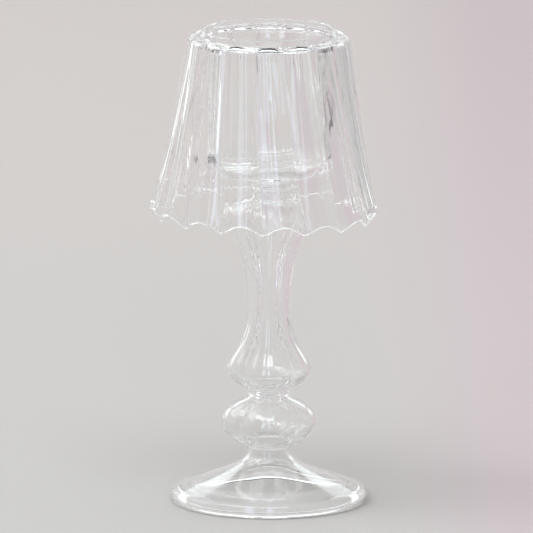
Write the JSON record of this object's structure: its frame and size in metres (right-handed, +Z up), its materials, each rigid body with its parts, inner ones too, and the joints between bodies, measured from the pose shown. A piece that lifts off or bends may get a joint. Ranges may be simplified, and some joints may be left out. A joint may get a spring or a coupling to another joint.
{
  "type": "tea light holder",
  "caption": "Clear blown-glass tea light holder shaped like a table lamp: a lobed hollow stem carries a cup, and a loose pleated shade hangs on the rim.",
  "frame": {"origin": "on the table under the centre of the foot", "axes": "+Z up along the axis of the stem, -Y towards the viewer of the picture, +X to the right"},
  "size_m": [0.1198, 0.1198, 0.2544],
  "materials": {
    "stand_glass": "clear hand-worked glass, fire-polished",
    "shade_glass": "clear mould-blown pleated glass, fire-polished edges"
  },
  "bodies": {
    "stand": {"foot": "stand_glass", "knop": "stand_glass", "stem_collar": "stand_glass", "column": "stand_glass", "cup_neck": "stand_glass", "candle_cup": "stand_glass"},
    "shade": {"shade_skirt": "shade_glass", "shade_collar": "shade_glass"}
  },
  "joints": [
    {"name": "shade_lift", "type": "slide", "parent": "stand", "child": "shade", "axis": [0, 0, 1], "range_m": [0, 0.11]}
  ]
}
